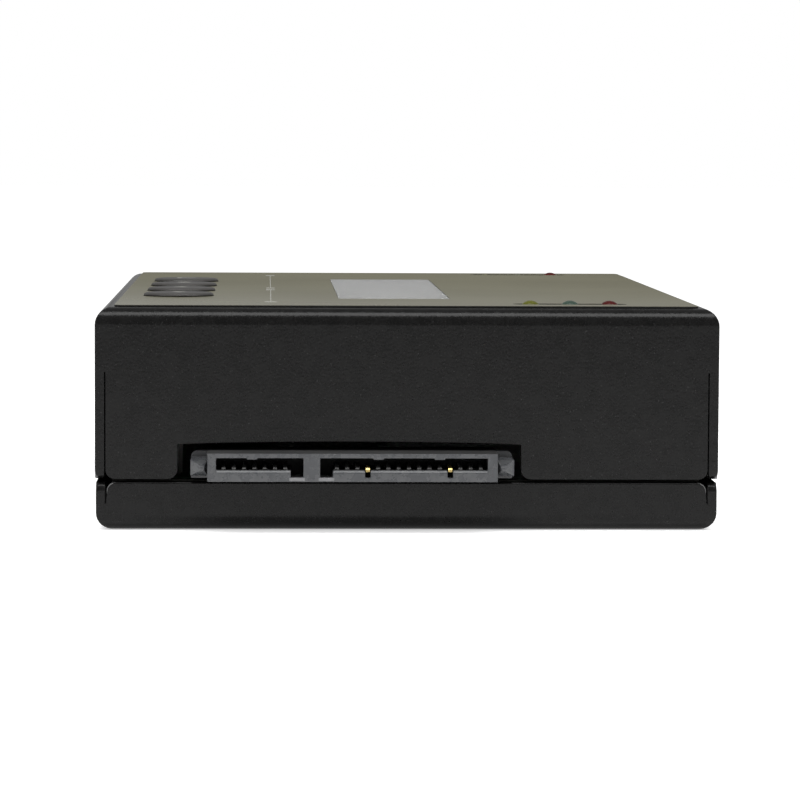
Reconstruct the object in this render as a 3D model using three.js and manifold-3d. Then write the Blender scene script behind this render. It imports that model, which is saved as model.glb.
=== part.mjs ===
// A stand-alone docking and copying station for hard drives: a flat case of folded sheet metal with a
// drive receptacle at each end, and on top a printed label, a character display, four push buttons and
// two groups of three lamps. A low-voltage inlet and a power rocker are on the right side.
// Millimetres. X to the right, Y away from the near receptacle, Z up; the origin is the middle of the underside.
import * as THREE from "three";
import { mergeVertices } from "three/addons/utils/BufferGeometryUtils.js";
import Module from "manifold-3d";

const wasm = await Module();
wasm.setup();

// Case
const caseWidth = 77.6;
const caseLength = 114.5;
const caseHeight = 27.75;
const sheet = 1.2;
const coverBend = 2.2;
const trayBend = 2.2;
const trayInset = 0.12;
const trayHeight = 6.05;
const seamGap = 0.35;
const cornerSlit = 0.15;
const coverSlitStop = 4;
const traySlitStop = 3.4;
const coverCorner = 1.1;
const trayCorner = 0.8;

// Gaps that several pieces keep, how far a cutter runs past the face it cuts, and the weld of shared points
const seatGap = 0.3;
const looseGap = 0.7;
const cutOver = 1;
const weld = 1e-4;

// Face label and window
const labelThickness = 0.2;
const labelEdge = 0.1;
const labelCorner = 1;
const windowWidth = 14.5;
const windowLength = 64.5;
const windowX = -0.95;
const windowY = -3.5;
const windowRim = 0.8;
const windowRimWidth = 1.5;

// Display module
const bezelSideBorder = 4.85;
const bezelEndBorder = 3.35;
const bezelHeight = 5.5;
const bezelSheet = 0.5;
const bezelApertureMargin = 0.5;
const glassThickness = 2.2;
const displayBoardSide = 2.4;
const displayBoardEnd = 4.4;
const stripWidth = 2.5;
const displayHeaderLength = 40;
const displaySpacerLength = 20;
const displayStripInset = 1.2;

// Push buttons
const buttonFromSide = 9.7;
const buttonRowY = -3.6;
const buttonPitch = 16;
const buttonRadius = 4.45;
const buttonProud = 0.5;
const buttonEdge = 0.25;
const buttonClearance = 0.3;
const buttonFlange = 0.8;
const buttonFlangeThickness = 1;
const buttonTravel = 0.3;
const hubRadius = 2.7;
const hubLength = 3.8;
const stemRadius = 1.5;
const stemWall = 0.3;
const switchWidth = 6;
const switchHeight = 3.5;
const switchBore = 2.4;
const switchRim = 0.4;

// Lamps
const lampFromSide = 18.05;
const lampFromEnd = 8;
const lampPitch = 5;
const lampRadius = 1;
const lampProud = 0.45;
const lampCollarRadius = 1.9;
const lampCollarHeight = 1;
const lampClearance = 0.3;
const lampSlotEnd = 2.2;
const lampSlotWidth = 2.6;
const lampLead = 0.4;
const lampLeadOffset = 0.6;
const holderWidth = 4;
const holderEnd = 1.5;
const holderBore = 1.3;

// Boards and what joins them
const bossHeight = 3.4;
const boardThickness = 1.6;
const boardMargin = 0.7;
const boardCorner = 1.5;
const boardSpaceShare = 0.68;
const fastenerFromSide = 7.5;
const hexFlats = 5.5;
const studRadius = 1.25;
const boreRadius = 1.55;
const boreDepth = 5;
const studLength = 4;
const spacerBoreShare = 0.65;
const screwTipGap = 0.7;
const boardHole = 1.6;
const bossTop = 4;
const bossFoot = 5.4;
const recessTop = 3.1;
const recessFoot = 4.6;
const headRadius = 2.75;
const headHeight = 1.8;
const headDome = 0.5;
const headCorner = 0.6;
const headerY = 31;
const headerX = -12;
const headerPins = 10;
const headerPitch = 2.54;
const pinWidth = 0.64;

// Chips and other parts of the main board
const processorX = -10;
const processorY = -22;
const processorSize = 14;
const processorHeight = 1.4;
const processorLegs = 6;
const memoryX = -14;
const memoryY = 8;
const memoryWidth = 5.3;
const memoryLength = 5.3;
const memoryHeight = 1.7;
const memoryLegs = 4;
const legWidth = 0.4;
const legReach = 1;
const legThickness = 0.2;
const inductorFromSide = 15.5;
const inductorY = 5;
const inductorRadius = 3.6;
const inductorHeight = 4;
const inductorFlange = 0.8;
const inductorWaist = 2.6;
const capacitorFromSide = 7.5;
const capacitorY = 2;
const capacitorRadius = 3.15;
const capacitorHeight = 5.4;
const capacitorBase = 0.9;
const capacitorGroove = 0.35;
const capacitorGrooveDrop = 0.8;
const capacitorGrooveHeight = 0.5;

// Drive receptacle, in its own frame: the middle of its mouth's lower edge, with Y running inwards
const receptacleX = -6.9;
const receptacleReach = 4.5;
const housingWidth = 35.8;
const housingHeight = 3.5;
const housingDepth = 10.4;
const slotDepth = 5.6;
const slotFloor = 1.5;
const slotHeight = 1.43;
const slotFoot = 0.52;
const footWidth = 1.55;
const signalInset = 1.07;
const signalLength = 10.75;
const slotWall = 2.07;
const powerLength = 20.66;
const mouthChamfer = 0.35;
const contactPitch = 1.27;
const signalContacts = 7;
const powerContacts = 15;
const signalFirst = 0.91;
const powerFirst = 2.06;
const contactWidth = 0.5;
const contactRise = 0.5;
const contactSetback = 0.5;
const contactRoot = 0.2;
const goldContacts = [3, 11];
const goldSetback = 0.15;
const goldThickness = 0.3;
const goldRise = 0.62;
const goldDrop = 0.25;
const goldCrownRun = 1.6;
const goldGroove = 0.66;
const grooveFloor = 0.52;
const roofRibShares = [0.154, 0.589, 0.8];
const roofRibWidth = 1.3;
const roofRibDrop = 0.19;
const postWidth = 2.1;
const postLow = 0.65;
const postHigh = 2.65;
const postNose = 1.3;
const postTaperShare = 0.8;
const postApexShare = 0.25;
const flangeFront = 5;
const flangeThickness = 1.2;
const flangeCorner = 0.8;
const tailLength = 1.2;
const tailThickness = 0.25;
const notchLeft = 1.6;
const notchRight = 1;
const notchTop = 0.75;
const notchBow = 0.3;

// Low-voltage inlet
const jackY = 16;
const jackWidth = 9;
const jackHeight = 11;
const jackDepth = 14;
const jackFaceDepth = 3.3;
const jackAxisHeight = 6.5;
const jackBarrel = 4;
const jackBore = 3.1;
const jackBoreDepth = 9;
const jackPin = 1;
const jackPinSetback = 1;
const jackProud = 0.3;
const jackGap = 0.35;

// Power rocker
const rockerY = -10;
const flangeLength = 15;
const flangeHeight = 10.6;
const flangeOut = 1.6;
const flangeRound = 1;
const frameLength = 12.8;
const frameHeight = 8.6;
const frameDepth = 10;
const frameWall = 0.7;
const pocketDepth = 7.2;
const clipReach = 0.7;
const clipRun = 2.4;
const terminalLength = 4.8;
const terminalThickness = 0.8;
const terminalWidth = 3.2;
const terminalPitch = 5;
const pivotFromFace = 3.7;
const rockerCrown = 3;
const rockerTip = 4.2;
const rockerTipHalf = 4.6;
const rockerHalf = 5.1;
const rockerBelow = 1.5;
const rockerAngle = 10;
const trunnionRadius = 0.8;
const leadThickness = 1.3;
const leadDrop = 1.9;

// Fineness of round forms
const bendSteps = 3;
const roundSteps = 10;
const cornerSteps = 3;
const turnSteps = 16;
const capSteps = 28;
const lampSteps = 12;

// Places and sizes that follow from the ones above
const halfWidth = caseWidth / 2;
const halfLength = caseLength / 2;
const coverUnder = caseHeight - sheet;
const coverLow = trayHeight + seamGap;
const labelTop = caseHeight + labelThickness;
const bezelWidth = windowWidth + 2 * bezelSideBorder;
const bezelLength = windowLength + 2 * bezelEndBorder;
const bezelTop = coverUnder - windowRim - seatGap;
const displayBoardWidth = bezelWidth + 2 * displayBoardSide;
const displayBoardLength = bezelLength + 2 * displayBoardEnd;
const displayBoardTop = bezelTop - bezelHeight;
const displayBoardLow = displayBoardTop - boardThickness;
const mainLow = sheet + bossHeight;
const mainTop = mainLow + boardThickness;
const boardSpace = boardSpaceShare * (displayBoardLow - mainTop - boardThickness);
const controlLow = mainTop + boardSpace;
const controlTop = controlLow + boardThickness;
const spacerBore = spacerBoreShare * boardSpace;
const controlHalfWidth = halfWidth - sheet - boardMargin;
const boardHalfLength = halfLength - sheet - boardMargin;
const mainHalfWidth = halfWidth - trayInset - sheet - boardMargin;
const receptacleY = halfLength + receptacleReach;
const fastenerX = halfWidth - fastenerFromSide;
const fastenerY = receptacleY - housingDepth - tailLength - looseGap - hexFlats / 2;
const fastenerPlaces = [
  [-fastenerX, -fastenerY],
  [fastenerX, -fastenerY],
  [fastenerX, fastenerY],
  [-fastenerX, fastenerY],
];
const buttonX = buttonFromSide - halfWidth;
const buttonPlaces = [0, 1, 2, 3].map((i) => buttonRowY + (i - 1.5) * buttonPitch);
const lampX = halfWidth - lampFromSide;
const lampPlaces = [-1, 0, 1].map((i) => lampX + i * lampPitch);
const lampRowY = halfLength - lampFromEnd;
const lampSlotLength = 2 * (lampPitch + lampSlotEnd);
const holderLength = 2 * (lampPitch + holderEnd);
const capacitorX = halfWidth - capacitorFromSide;
const inductorX = halfWidth - inductorFromSide;
const receptacleZ = mainTop + seatGap;
const halfHousing = housingWidth / 2;
const signalLeft = -halfHousing + signalInset;
const signalRight = signalLeft + signalLength;
const powerLeft = signalRight + slotWall;
const powerRight = powerLeft + powerLength;
const slotRoof = slotFloor + slotHeight;
const jackFront = halfWidth + jackProud;
const jackAxis = mainTop + jackAxisHeight;
const rockerFace = halfWidth + flangeOut;
const pivotX = rockerFace - pivotFromFace;
const rockerZ = (coverLow + caseHeight - coverBend) / 2;
const frameBack = halfWidth - frameDepth;
const leadStart = frameBack - terminalLength - seatGap;
const leadX = leadStart - leadDrop;
const cutoutEdge = leadX - leadThickness / 2 - looseGap;
const cutoutLow = rockerY - flangeLength / 2 - looseGap;
const cutoutHigh = jackY + jackWidth / 2 + looseGap;

// A closed geometry as a solid that can be cut and joined.
function solid(geometry) {
  const bare = geometry.clone();
  bare.deleteAttribute("normal");
  bare.deleteAttribute("uv");
  const welded = mergeVertices(bare, weld);
  const corners = welded.index.array;
  const faces = [];
  for (let i = 0; i < corners.length; i += 3) {
    const [a, b, c] = corners.slice(i, i + 3);
    if (a !== b && b !== c && c !== a) faces.push(a, b, c);
  }
  return new wasm.Manifold(
    new wasm.Mesh({
      numProp: 3,
      vertProperties: welded.attributes.position.array,
      triVerts: new Uint32Array(faces),
    }),
  );
}

// A solid as a flat-shaded geometry.
function geometryOf(made) {
  const { vertProperties, triVerts } = made.getMesh();
  const indexed = new THREE.BufferGeometry();
  indexed.setAttribute("position", new THREE.BufferAttribute(vertProperties, 3));
  indexed.setIndex(new THREE.BufferAttribute(triVerts, 1));
  const flat = indexed.toNonIndexed();
  flat.computeVertexNormals();
  return flat;
}

function join(first, ...others) {
  return others.reduce((made, next) => made.add(next), first);
}

function cut(first, ...others) {
  return others.reduce((made, next) => made.subtract(next), first);
}

function box([left, right], [front, back], [low, high]) {
  const geometry = new THREE.BoxGeometry(right - left, back - front, high - low);
  return solid(geometry.translate((left + right) / 2, (front + back) / 2, (low + high) / 2));
}

// A box by its middle, width and length in plan, and its two heights.
function plate(x, y, width, length, low, high) {
  return box([x - width / 2, x + width / 2], [y - length / 2, y + length / 2], [low, high]);
}

// A shape drawn in X and Y, raised from low to high.
function raised(shape, low, high, steps = cornerSteps) {
  const settings = { depth: high - low, bevelEnabled: false, curveSegments: steps };
  return solid(new THREE.ExtrudeGeometry(shape, settings).translate(0, 0, low));
}

// A shape drawn in X and Z, run along Y from front to back.
function runBack(shape, front, back, steps = cornerSteps) {
  const settings = { depth: back - front, bevelEnabled: false, curveSegments: steps };
  const geometry = new THREE.ExtrudeGeometry(shape, settings).rotateX(Math.PI / 2);
  return solid(geometry.translate(0, back, 0));
}

// A shape drawn in Y and Z, run along X from left to right.
function runAcross(shape, left, right, steps = cornerSteps) {
  const settings = { depth: right - left, bevelEnabled: false, curveSegments: steps };
  const turn = new THREE.Matrix4().makeBasis(
    new THREE.Vector3(0, 1, 0),
    new THREE.Vector3(0, 0, 1),
    new THREE.Vector3(1, 0, 0),
  );
  const geometry = new THREE.ExtrudeGeometry(shape, settings).applyMatrix4(turn);
  return solid(geometry.translate(left, 0, 0));
}

// A profile of [radius, height] points, listed upwards outside, turned round a vertical axis at x, y.
function turned(profile, x = 0, y = 0, steps = turnSteps) {
  const points = profile.map(([r, z]) => new THREE.Vector2(r, z));
  const geometry = new THREE.LatheGeometry(points, steps).rotateX(Math.PI / 2);
  return solid(geometry.translate(x, y, 0));
}

function rod(radius, low, high, x = 0, y = 0, steps = turnSteps) {
  return turned([[0, low], [radius, low], [radius, high], [0, high]], x, y, steps);
}

function outline(points) {
  return new THREE.Shape(points.map(([x, y]) => new THREE.Vector2(x, y)));
}

function rounded(width, height, radius, x = 0, y = 0) {
  const shape = new THREE.Shape();
  const right = x + width / 2;
  const left = x - width / 2;
  const top = y + height / 2;
  const low = y - height / 2;
  shape.moveTo(right - radius, low);
  shape.absarc(right - radius, low + radius, radius, -Math.PI / 2, 0);
  shape.absarc(right - radius, top - radius, radius, 0, Math.PI / 2);
  shape.absarc(left + radius, top - radius, radius, Math.PI / 2, Math.PI);
  shape.absarc(left + radius, low + radius, radius, Math.PI, 1.5 * Math.PI);
  return shape;
}

function disc(radius, x, y) {
  const shape = new THREE.Shape();
  shape.absarc(x, y, radius, 0, 2 * Math.PI);
  return shape;
}

const root = new THREE.Group();

function add(name, made, material, parent = root) {
  const mesh = new THREE.Mesh(geometryOf(made), material);
  mesh.name = name;
  parent.add(mesh);
  return mesh;
}

function finish(color, roughness, metalness = 0) {
  return new THREE.MeshStandardMaterial({ color, roughness, metalness });
}

const paintedSteel = finish(0x252525, 0.6, 0.2);
const printedFilm = finish(0x6f6d66, 0.25);
const clearPane = finish(0xa5a49f, 0.1);
const buttonPlastic = finish(0x3a3a38, 0.5);
const lampFinishes = [finish(0xa3ad3c, 0.2), finish(0x4fa08a, 0.2), finish(0xb02a1c, 0.2)];
const greyPlastic = finish(0x606062, 0.5);
const gold = finish(0xc9a04a, 0.3, 1);
const boardLaminate = finish(0x1f5a36, 0.45);
const blackPlastic = finish(0x1d1d1e, 0.45);
const brightMetal = finish(0xb9bbbd, 0.3, 1);
const whitePlastic = finish(0xdad8d0, 0.5);
const displayGlass = finish(0x8d9a86, 0.15);

// The section of a folded pan: square at its open edge, and rounded where the flaps leave the flat.
function panSection(half, open, closed, radius) {
  const up = Math.sign(closed - open);
  const shape = new THREE.Shape();
  shape.moveTo(-half, open);
  shape.lineTo(-half, closed - up * radius);
  shape.absarc(radius - half, closed - up * radius, radius, Math.PI, up * Math.PI / 2, up > 0);
  shape.absarc(half - radius, closed - up * radius, radius, up * Math.PI / 2, 0, up > 0);
  shape.lineTo(half, open);
  return shape;
}

// The block of a pan, with its four bends mitred where they meet.
function panBlock(halfX, halfY, open, closed, radius) {
  const alongY = runBack(panSection(halfX, open, closed, radius), -halfY, halfY, bendSteps);
  const alongX = runAcross(panSection(halfY, open, closed, radius), -halfX, halfX, bendSteps);
  return alongY.intersect(alongX);
}

// The slit between an end flap and a side flap, which also rounds the end flap's corner.
function slitOutline(side, flapHalf, open, stop, corner) {
  const away = Math.sign(open - stop);
  const shape = new THREE.Shape();
  shape.moveTo(side * (flapHalf - corner), open + away * cutOver);
  shape.lineTo(side * (flapHalf - corner), open);
  shape.quadraticCurveTo(side * flapHalf, open, side * flapHalf, open - away * corner);
  shape.lineTo(side * flapHalf, stop);
  shape.lineTo(side * (flapHalf + cornerSlit), stop);
  shape.lineTo(side * (flapHalf + cornerSlit), open + away * cutOver);
  return shape;
}

// What rounds off a side flap's free corner at one end.
function cornerOutline(end, halfY, open, stop, corner) {
  const away = Math.sign(open - stop);
  const shape = new THREE.Shape();
  shape.moveTo(end * (halfY - corner), open + away * cutOver);
  shape.lineTo(end * (halfY - corner), open);
  shape.quadraticCurveTo(end * halfY, open, end * halfY, open - away * corner);
  shape.lineTo(end * (halfY + cutOver), open - away * corner);
  shape.lineTo(end * (halfY + cutOver), open + away * cutOver);
  return shape;
}

// A pan of folded sheet, open at one side, with slit corners.
function foldedPan(halfX, halfY, open, closed, bend, stop, corner) {
  const up = Math.sign(closed - open);
  const hollow = panBlock(halfX - sheet, halfY - sheet, open - up * cutOver, closed - up * sheet, bend - sheet);
  let pan = panBlock(halfX, halfY, open, closed, bend).subtract(hollow);
  const flapHalf = halfX - sheet - cornerSlit;
  for (const side of [-1, 1]) {
    const slit = slitOutline(side, flapHalf, open, stop, corner);
    const strip = [side * (flapHalf + cornerSlit / 2), side * (halfX + cutOver)].sort((a, b) => a - b);
    for (const end of [-1, 1]) {
      const reach = [end * (halfY - sheet), end * (halfY + cutOver)].sort((a, b) => a - b);
      pan = pan.subtract(runBack(slit, ...reach));
      pan = pan.subtract(runAcross(cornerOutline(end, halfY, open, stop, corner), ...strip));
    }
  }
  return pan;
}

// A notch at the free edge of one of the cover's flaps: rounded where it meets the edge, and bowed on top.
function notchOutline(left, right, top, bow) {
  const shape = new THREE.Shape();
  shape.moveTo(left - coverCorner, coverLow - cutOver);
  shape.lineTo(left - coverCorner, coverLow);
  shape.quadraticCurveTo(left, coverLow, left, coverLow + coverCorner);
  shape.lineTo(left, top);
  shape.quadraticCurveTo((left + right) / 2, top + 2 * bow, right, top);
  shape.lineTo(right, coverLow + coverCorner);
  shape.quadraticCurveTo(right, coverLow, right + coverCorner, coverLow);
  shape.lineTo(right + coverCorner, coverLow - cutOver);
  return shape;
}

function topCover() {
  const slitStop = caseHeight - coverSlitStop;
  let cover = foldedPan(halfWidth, halfLength, coverLow, caseHeight, coverBend, slitStop, coverCorner);
  const left = receptacleX - halfHousing - postWidth - notchLeft;
  const right = receptacleX + halfHousing + postWidth + notchRight;
  const top = receptacleZ + housingHeight + notchTop;
  const nearNotch = notchOutline(left, right, top, notchBow);
  const farNotch = notchOutline(-right, -left, top, notchBow);
  const near = runBack(nearNotch, -halfLength - cutOver, -halfLength + sheet + cutOver);
  const far = runBack(farNotch, halfLength - sheet - cutOver, halfLength + cutOver);
  cover = cut(cover, near, far);
  const through = [coverUnder - cutOver, caseHeight + cutOver];
  for (const y of buttonPlaces) {
    cover = cover.subtract(rod(buttonRadius + buttonClearance, ...through, buttonX, y, capSteps));
  }
  for (const x of lampPlaces) {
    for (const y of [-lampRowY, lampRowY]) {
      cover = cover.subtract(rod(lampRadius + lampClearance, ...through, x, y));
    }
  }
  const paneX = [windowX - windowWidth / 2 - seatGap, windowX + windowWidth / 2 + seatGap];
  const paneY = [windowY - windowLength / 2 - seatGap, windowY + windowLength / 2 + seatGap];
  const wall = [halfWidth - sheet - cutOver, halfWidth + cutOver];
  const jackHalf = jackWidth / 2 + jackGap;
  const jackNotch = notchOutline(jackY - jackHalf, jackY + jackHalf, mainTop + jackHeight + jackGap, 0);
  const frameY = [rockerY - frameLength / 2 - seatGap, rockerY + frameLength / 2 + seatGap];
  const frameZ = [rockerZ - frameHeight / 2 - seatGap, rockerZ + frameHeight / 2 + seatGap];
  return cut(
    cover,
    box(paneX, paneY, through),
    runAcross(jackNotch, ...wall),
    box(wall, frameY, frameZ),
  );
}
add("top_cover", topCover(), paintedSteel);

// The tray has four formed bosses: hollow underneath for a screw's head, flat on top for the board.
function bottomTray() {
  const halfX = halfWidth - trayInset;
  const halfY = halfLength - trayInset;
  let tray = foldedPan(halfX, halfY, trayHeight, 0, trayBend, traySlitStop, trayCorner);
  for (const [x, y] of fastenerPlaces) {
    const boss = [[0, sheet / 2], [bossFoot, sheet / 2], [bossFoot, sheet], [bossTop, mainLow], [0, mainLow]];
    const seat = mainLow - sheet;
    const recess = [[0, -cutOver], [recessFoot, -cutOver], [recessFoot, 0], [recessTop, seat], [0, seat]];
    tray = tray.add(turned(boss, x, y));
    tray = cut(tray, turned(recess, x, y), rod(boardHole, 0, mainLow + cutOver, x, y));
  }
  return tray;
}
add("bottom_tray", bottomTray(), paintedSteel);

function faceLabel() {
  const inset = coverBend + labelEdge;
  const through = [caseHeight - cutOver, labelTop + cutOver];
  let film = raised(rounded(caseWidth - 2 * inset, caseLength - 2 * inset, labelCorner), caseHeight, labelTop, 2);
  for (const y of buttonPlaces) {
    film = film.subtract(rod(buttonRadius + buttonClearance, ...through, buttonX, y, capSteps));
  }
  for (const y of [-lampRowY, lampRowY]) {
    const slot = rounded(lampSlotLength, lampSlotWidth, lampSlotWidth / 2, lampX, y);
    film = film.subtract(raised(slot, ...through));
  }
  return film.subtract(plate(windowX, windowY, windowWidth, windowLength, ...through));
}
add("face_label", faceLabel(), printedFilm);

// The pane fills the label's opening, passes through the cover and is bonded to it by a rim underneath.
function displayWindow() {
  const halfX = windowWidth / 2;
  const halfY = windowLength / 2;
  const rim = windowRimWidth;
  const plug = box([windowX - halfX, windowX + halfX], [windowY - halfY, windowY + halfY], [coverUnder, labelTop]);
  const rimX = [windowX - halfX - rim, windowX + halfX + rim];
  const rimY = [windowY - halfY - rim, windowY + halfY + rim];
  return plug.add(box(rimX, rimY, [coverUnder - windowRim, coverUnder]));
}
add("display_window", displayWindow(), clearPane);

// The display module: a pressed frame over the cell and its light guide, on a board of its own.
function displayModule() {
  const gap = bezelSheet + seatGap;
  const cellWidth = bezelWidth - 2 * gap;
  const cellLength = bezelLength - 2 * gap;
  const cellTop = bezelTop - bezelSheet - seatGap;
  const aperture = 2 * bezelApertureMargin;
  const frame = cut(
    plate(windowX, windowY, bezelWidth, bezelLength, displayBoardTop, bezelTop),
    plate(
      windowX,
      windowY,
      bezelWidth - 2 * bezelSheet,
      bezelLength - 2 * bezelSheet,
      displayBoardTop - cutOver,
      bezelTop - bezelSheet,
    ),
    plate(windowX, windowY, windowWidth + aperture, windowLength + aperture, displayBoardTop, bezelTop + cutOver),
  );
  const guideTop = cellTop - glassThickness;
  const cell = plate(windowX, windowY, cellWidth, cellLength, guideTop, cellTop);
  const guide = plate(windowX, windowY, cellWidth, cellLength, displayBoardTop, guideTop);
  const board = rounded(displayBoardWidth, displayBoardLength, boardCorner, windowX, windowY);
  add("display_bezel", frame, blackPlastic);
  add("display_glass", cell, displayGlass);
  add("display_backlight", guide, whitePlastic);
  add("display_board", raised(board, displayBoardLow, displayBoardTop), boardLaminate);
  const inset = displayStripInset + stripWidth / 2;
  const stripX = windowX - displayBoardWidth / 2 + inset;
  const spacerY = windowY + displayBoardLength / 2 - inset;
  const heights = [controlTop, displayBoardLow];
  add("display_header", plate(stripX, windowY, stripWidth, displayHeaderLength, ...heights), blackPlastic);
  add("display_spacer", plate(windowX, spacerY, displaySpacerLength, stripWidth, ...heights), blackPlastic);
}
displayModule();

// A push button: a round cap, held under the cover by its flange and pressed on the stem of a tactile switch.
const flangeTop = coverUnder - seatGap;
const flangeLow = flangeTop - buttonFlangeThickness;
const hubLow = flangeLow - hubLength;
const switchTop = controlTop + switchHeight;
const stemTop = flangeLow - stemWall;

function buttonCap() {
  const top = labelTop + buttonProud;
  const flangeRadius = buttonRadius + buttonFlange;
  const profile = [
    [0, hubLow],
    [hubRadius, hubLow],
    [hubRadius, flangeLow],
    [flangeRadius, flangeLow],
    [flangeRadius, flangeTop],
    [buttonRadius, flangeTop],
    [buttonRadius, top - buttonEdge],
    [buttonRadius - buttonEdge, top],
    [0, top],
  ];
  const bore = rod(stemRadius + seatGap, hubLow - cutOver, stemTop + seatGap);
  return turned(profile, 0, 0, capSteps).subtract(bore);
}

function buttonStem() {
  return rod(stemRadius, switchTop - switchBore + buttonTravel + seatGap, stemTop);
}

function tactSwitch() {
  const half = switchWidth / 2;
  const body = box([-half, half], [-half, half], [controlTop, switchTop - switchRim]);
  const rim = rod(stemRadius + seatGap + switchRim, controlTop, switchTop);
  return body.add(rim).subtract(rod(stemRadius + seatGap, switchTop - switchBore, switchTop + cutOver));
}

buttonPlaces.forEach((y, i) => {
  const place = new THREE.Group();
  place.position.set(buttonX, y, 0);
  root.add(place);
  add(`button_cap_${i + 1}`, buttonCap(), buttonPlastic, place);
  add(`button_stem_${i + 1}`, buttonStem(), blackPlastic, place);
  add(`tact_switch_${i + 1}`, tactSwitch(), blackPlastic, place);
});

// A lamp: a domed lens on a collar, with two leads that stand on the board through the holder.
const collarTop = coverUnder - seatGap;
const collarLow = collarTop - lampCollarHeight;

function lamp() {
  const top = labelTop + lampProud;
  const profile = [[0, collarLow], [lampCollarRadius, collarLow], [lampCollarRadius, collarTop]];
  profile.push([lampRadius, collarTop]);
  const rings = 3;
  for (let i = 0; i < rings; i++) {
    const angle = (i / rings) * (Math.PI / 2);
    profile.push([lampRadius * Math.cos(angle), top - lampRadius + lampRadius * Math.sin(angle)]);
  }
  profile.push([0, top]);
  const half = lampLead / 2;
  const leads = [-lampLeadOffset, lampLeadOffset].map((x) =>
    box([x - half, x + half], [-half, half], [controlTop, collarLow + lampCollarHeight / 2]),
  );
  return join(turned(profile, 0, 0, lampSteps), ...leads);
}

function lampHolder() {
  let holder = plate(0, 0, holderLength, holderWidth, controlTop, collarLow);
  for (const i of [-1, 0, 1]) {
    holder = holder.subtract(rod(holderBore, controlTop - cutOver, collarLow + cutOver, i * lampPitch, 0));
  }
  return holder;
}

for (const [end, y] of [["near", -lampRowY], ["far", lampRowY]]) {
  const row = new THREE.Group();
  row.position.set(lampX, y, 0);
  root.add(row);
  add(`lamp_holder_${end}`, lampHolder(), whitePlastic, row);
  [-1, 0, 1].forEach((i, n) => {
    add(`lamp_${end}_${n + 1}`, lamp(), lampFinishes[n], row).position.set(i * lampPitch, 0, 0);
  });
}

// The control board leaves the right side free for the inlet and the rocker.
function controlBoard() {
  let board = raised(rounded(2 * controlHalfWidth, 2 * boardHalfLength, boardCorner), controlLow, controlTop);
  const through = [controlLow - cutOver, controlTop + cutOver];
  board = board.subtract(box([cutoutEdge, controlHalfWidth + cutOver], [cutoutLow, cutoutHigh], through));
  for (const [x, y] of fastenerPlaces) board = board.subtract(rod(boardHole, ...through, x, y));
  return board;
}
add("control_board", controlBoard(), boardLaminate);

function mainBoard() {
  let board = raised(rounded(2 * mainHalfWidth, 2 * boardHalfLength, boardCorner), mainLow, mainTop);
  for (const [x, y] of fastenerPlaces) {
    board = board.subtract(rod(boardHole, mainLow - cutOver, mainTop + cutOver, x, y));
  }
  return board;
}
add("main_board", mainBoard(), boardLaminate);

// A pin header: a strip on the main board whose pins reach up to the control board.
function boardHeader() {
  const length = headerPins * headerPitch;
  let header = plate(headerX, headerY, length, stripWidth, mainTop, mainTop + stripWidth);
  for (let i = 0; i < headerPins; i++) {
    const x = headerX + (i - (headerPins - 1) / 2) * headerPitch;
    header = header.add(plate(x, headerY, pinWidth, pinWidth, mainTop, controlLow));
  }
  return header;
}
add("board_header", boardHeader(), blackPlastic);

// A chip with flat legs on two or four sides.
function chip(x, y, width, length, height, legs, sides) {
  const legTop = mainTop + legThickness;
  let made = plate(x, y, width, length, mainTop + legThickness / 2, mainTop + height);
  for (let i = 0; i < legs; i++) {
    const share = (i - (legs - 1) / 2) / legs;
    for (const side of [-1, 1]) {
      const beside = x + (side * width) / 2;
      const behind = y + (side * length) / 2;
      made = made.add(plate(beside, y + share * length, 2 * legReach, legWidth, mainTop, legTop));
      if (sides > 2) {
        made = made.add(plate(x + share * width, behind, legWidth, 2 * legReach, mainTop, legTop));
      }
    }
  }
  return made;
}
add(
  "processor_chip",
  chip(processorX, processorY, processorSize, processorSize, processorHeight, processorLegs, 4),
  blackPlastic,
);
add(
  "memory_chip",
  chip(memoryX, memoryY, memoryWidth, memoryLength, memoryHeight, memoryLegs, 2),
  blackPlastic,
);

function powerInductor() {
  const top = mainTop + inductorHeight;
  return turned(
    [
      [0, mainTop],
      [inductorRadius, mainTop],
      [inductorRadius, mainTop + inductorFlange],
      [inductorWaist, mainTop + inductorFlange],
      [inductorWaist, top - inductorFlange],
      [inductorRadius, top - inductorFlange],
      [inductorRadius, top],
      [0, top],
    ],
    inductorX,
    inductorY,
  );
}
add("power_inductor", powerInductor(), blackPlastic);

function supplyCapacitor() {
  const top = mainTop + capacitorHeight;
  const grooveTop = top - capacitorGrooveDrop;
  const waist = capacitorRadius - capacitorGroove;
  const can = turned(
    [
      [0, mainTop],
      [capacitorRadius, mainTop],
      [capacitorRadius, grooveTop - capacitorGrooveHeight],
      [waist, grooveTop - capacitorGrooveHeight / 2],
      [capacitorRadius, grooveTop],
      [capacitorRadius, top],
      [0, top],
    ],
    capacitorX,
    capacitorY,
  );
  const side = 2 * (capacitorRadius + capacitorGroove);
  return can.add(plate(capacitorX, capacitorY, side, side, mainTop, mainTop + capacitorBase));
}
add("supply_capacitor", supplyCapacitor(), brightMetal);

// The two L-shaped slots of the receptacle, whose feet face each other across the middle wall.
function slotOutline(left, right, footAtLeft) {
  const inner = footAtLeft ? left + footWidth : right - footWidth;
  const points = footAtLeft
    ? [[left, slotFoot], [inner, slotFoot], [inner, slotFloor], [right, slotFloor]]
    : [[left, slotFloor], [inner, slotFloor], [inner, slotFoot], [right, slotFoot]];
  return outline([...points, [right, slotRoof], [left, slotRoof]]);
}

// What bevels the front edge of a slot's floor.
function mouthCut(left, right) {
  const back = mouthChamfer + cutOver;
  const points = [
    [-cutOver, slotFloor - mouthChamfer - cutOver],
    [back, slotFloor + cutOver],
    [-cutOver, slotFloor + cutOver],
  ];
  return runAcross(outline(points), left, right);
}

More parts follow.
